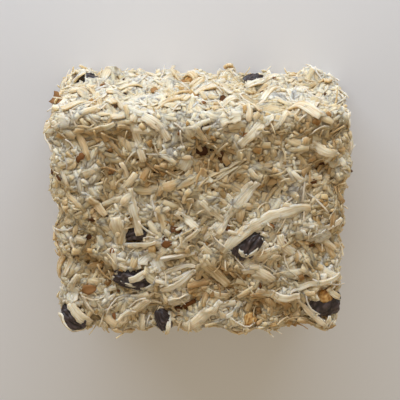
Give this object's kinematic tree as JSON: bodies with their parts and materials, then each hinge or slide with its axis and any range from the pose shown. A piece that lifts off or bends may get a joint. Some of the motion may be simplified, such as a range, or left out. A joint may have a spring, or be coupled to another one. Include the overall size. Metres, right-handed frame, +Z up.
{
  "type": "lamington cake",
  "caption": "Small rectangular lamington cake coated all over in shredded and desiccated coconut, with raisins and chopped nuts pressed into the coating.",
  "frame": {"origin": "on the surface that the cake rests on, under the middle of its box", "axes": "+X along the width of the block, +Y along its height as shown, +Z up through its thickness"},
  "size_m": [0.0649, 0.0556, 0.0324],
  "materials": {
    "coconut": "dry white and cream coconut shreds and grains, matt",
    "raisin": "wrinkled dark purple-brown skin, slightly glossy",
    "nut": "chopped tan nut, matt cut faces"
  },
  "bodies": {
    "root": {"cake": "coconut", "raisin_01": "raisin", "raisin_02": "raisin", "raisin_03": "raisin", "raisin_04": "raisin", "raisin_05": "raisin", "raisin_06": "raisin", "raisin_07": "raisin", "raisin_08": "raisin", "raisin_09": "raisin", "raisin_10": "raisin", "raisin_11": "raisin", "raisin_12": "raisin", "raisin_13": "raisin", "raisin_14": "raisin", "raisin_15": "raisin", "nut_piece_1": "nut", "nut_piece_2": "nut", "nut_piece_3": "nut", "nut_piece_4": "nut", "nut_piece_5": "nut"}
  },
  "joints": []
}
